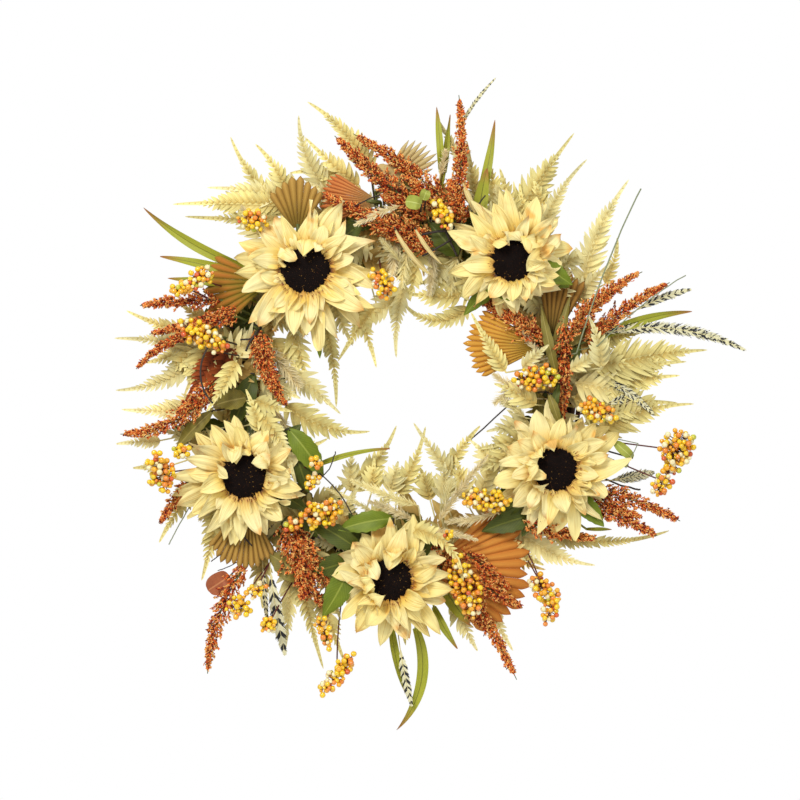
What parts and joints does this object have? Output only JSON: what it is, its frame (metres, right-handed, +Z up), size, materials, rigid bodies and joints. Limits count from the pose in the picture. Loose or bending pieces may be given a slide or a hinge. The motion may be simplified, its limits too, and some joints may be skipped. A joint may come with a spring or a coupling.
{
  "type": "door wreath",
  "caption": "Vine ring door wreath with sunflower heads, fan palms, ferns, grain sprays, berries, feathers and grass blades, hung from a swinging ring.",
  "frame": {"origin": "hook seat: the inner top of the hanging ring when it stands up behind the vine", "axes": "+Z up, +Y out of the wreath's back towards the door, -Y out of its front towards the viewer, +X to the viewer's right"},
  "size_m": [0.6967, 0.1141, 0.7139],
  "materials": {
    "vine": "rough bark",
    "tie_wire": "dull",
    "steel": "satin",
    "fern": "matte",
    "feather": "barred",
    "green_leaf": "matte",
    "palm_orange": "matte",
    "palm_tan": "matte",
    "grain": "matte",
    "berry": "gloss",
    "petal": "matte",
    "seed": "fuzzy"
  },
  "bodies": {
    "wreath": {"vine_cane_1": "vine", "vine_cane_2": "vine", "vine_cane_3": "vine", "vine_cane_4": "vine", "wire_tie_1": "tie_wire", "wire_tie_2": "tie_wire", "wire_tie_3": "tie_wire", "hanger_staple": "steel", "fern_pick_upper_right": "fern", "fern_pick_top": "fern", "fern_pick_upper_left": "fern", "fern_pick_left": "fern", "fern_pick_lower_left": "fern", "fern_pick_bottom_right": "fern", "fern_pick_right": "fern", "feather_pick_right": "feather", "feather_pick_bottom_left": "feather", "feather_pick_top": "feather", "grass_pick_upper_left": "green_leaf", "grass_pick_bottom": "green_leaf", "grass_pick_top": "green_leaf", "grass_pick_right": "green_leaf", "fan_palm_bottom_right": "palm_orange", "fan_palm_right_inner": "palm_orange", "fan_palm_right_outer": "palm_tan", "fan_palm_top": "palm_orange", "fan_palm_left": "palm_orange", "fan_palm_bottom_left": "palm_tan", "grain_pick_top": "grain", "grain_pick_upper_left": "grain", "grain_pick_left_upper": "grain", "grain_pick_inner_left": "grain", "grain_pick_left": "grain", "grain_pick_bottom_left": "grain", "grain_pick_bottom_right": "grain", "grain_pick_lower_right": "grain", "grain_pick_right": "grain", "berry_pick_upper_left": "berry", "berry_pick_lower_left": "berry", "berry_pick_inner_left": "berry", "berry_pick_bottom": "berry", "berry_pick_lower_right": "berry", "berry_pick_right": "berry", "berry_pick_top": "berry", "sunflower_upper_left_petals": "petal", "sunflower_upper_left_seed_disc": "seed", "sunflower_upper_left_stem": "green_leaf", "sunflower_upper_right_petals": "petal", "sunflower_upper_right_seed_disc": "seed", "sunflower_upper_right_stem": "green_leaf", "sunflower_right_petals": "petal", "sunflower_right_seed_disc": "seed", "sunflower_right_stem": "green_leaf", "sunflower_bottom_petals": "petal", "sunflower_bottom_seed_disc": "seed", "sunflower_bottom_stem": "green_leaf", "sunflower_left_petals": "petal", "sunflower_left_seed_disc": "seed", "sunflower_left_stem": "green_leaf"},
    "hanger": {"hanger_ring": "steel"}
  },
  "joints": [
    {"name": "hanger_swing", "type": "hinge", "parent": "wreath", "child": "hanger", "pos_m": [0, 0, -0.039], "axis": [-1, 0, 0], "range_deg": [0, 180]}
  ]
}
